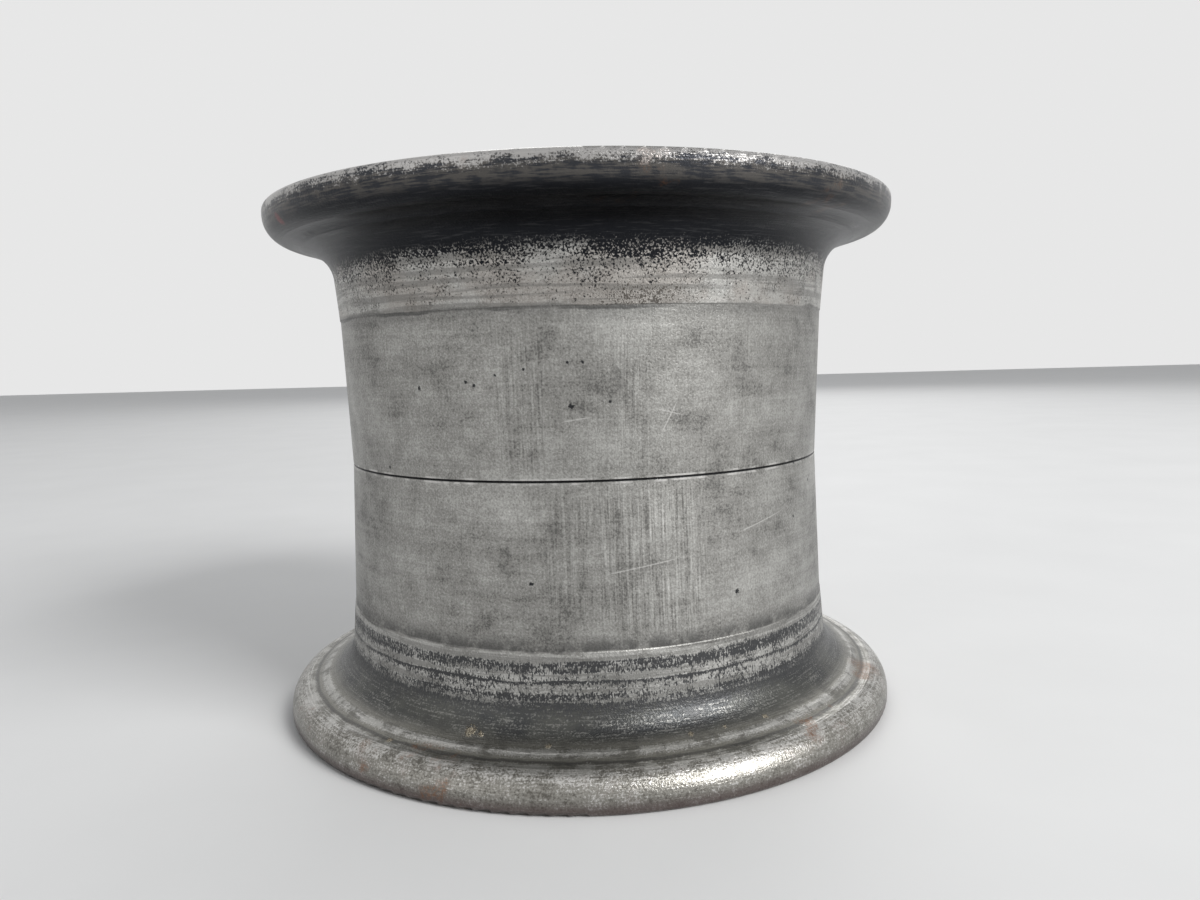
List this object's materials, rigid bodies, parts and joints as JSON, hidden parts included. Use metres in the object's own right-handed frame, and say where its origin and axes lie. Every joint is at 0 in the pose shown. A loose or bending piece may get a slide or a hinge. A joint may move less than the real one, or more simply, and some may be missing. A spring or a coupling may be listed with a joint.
{
  "type": "aircraft main wheel",
  "caption": "Split cast main wheel of a light aeroplane, standing on its flange: ribbed dish, tapered roller bearings, felt seals and tie bolts, without tyre.",
  "frame": {"origin": "the wheel's centre, on the axle line and the plane where the halves meet", "axes": "+Z along the axle line towards the outboard half, up as it stands; +Y towards the valve hole"},
  "size_m": [0.1906, 0.1904, 0.151],
  "materials": {
    "cast_alloy": "bare cast light alloy, machined and dulled, pitted and stained",
    "bearing_steel": "ground bearing steel with a film of grease",
    "cage_steel": "pressed steel, greasy",
    "seal_steel": "pressed steel, dulled",
    "felt": "grease-soaked wool felt",
    "spring_steel": "dark phosphated spring steel",
    "plated_steel": "worn cadmium-coloured plating"
  },
  "bodies": {
    "wheel": {"outboard_wheel_half": "cast_alloy", "inboard_wheel_half": "cast_alloy", "outboard_bearing_cup": "bearing_steel", "outboard_inner_seal_ring": "seal_steel", "outboard_felt_seal": "felt", "outboard_outer_seal_ring": "seal_steel", "outboard_snap_ring": "spring_steel", "inboard_bearing_cup": "bearing_steel", "inboard_inner_seal_ring": "seal_steel", "inboard_felt_seal": "felt", "inboard_outer_seal_ring": "seal_steel", "inboard_snap_ring": "spring_steel", "tie_bolt_1": "plated_steel", "bolt_head_washer_1": "plated_steel", "nut_washer_1": "plated_steel", "tie_bolt_nut_1": "plated_steel", "tie_bolt_2": "plated_steel", "bolt_head_washer_2": "plated_steel", "nut_washer_2": "plated_steel", "tie_bolt_nut_2": "plated_steel", "tie_bolt_3": "plated_steel", "bolt_head_washer_3": "plated_steel", "nut_washer_3": "plated_steel", "tie_bolt_nut_3": "plated_steel"},
    "outboard_cone": {"outboard_bearing_cone": "bearing_steel"},
    "outboard_roller_set": {"outboard_bearing_rollers": "bearing_steel", "outboard_bearing_cage": "cage_steel"},
    "inboard_cone": {"inboard_bearing_cone": "bearing_steel"},
    "inboard_roller_set": {"inboard_bearing_rollers": "bearing_steel", "inboard_bearing_cage": "cage_steel"}
  },
  "joints": [
    {"name": "outboard_cone_spin", "type": "hinge", "parent": "wheel", "child": "outboard_cone", "pos_m": [0, 0, 0.04129], "axis": [0, 0, 1], "continuous": true},
    {"name": "outboard_roller_set_orbit", "type": "hinge", "parent": "wheel", "child": "outboard_roller_set", "pos_m": [0, 0, 0.04129], "axis": [0, 0, 1], "continuous": true},
    {"name": "inboard_cone_spin", "type": "hinge", "parent": "wheel", "child": "inboard_cone", "pos_m": [0, 0, -0.03729], "axis": [0, 0, 1], "continuous": true},
    {"name": "inboard_roller_set_orbit", "type": "hinge", "parent": "wheel", "child": "inboard_roller_set", "pos_m": [0, 0, -0.03729], "axis": [0, 0, 1], "continuous": true}
  ],
  "couplings": [
    {"joint": "outboard_roller_set_orbit", "follows": "outboard_cone_spin", "ratio": 0.43258},
    {"joint": "inboard_roller_set_orbit", "follows": "inboard_cone_spin", "ratio": 0.43258}
  ]
}
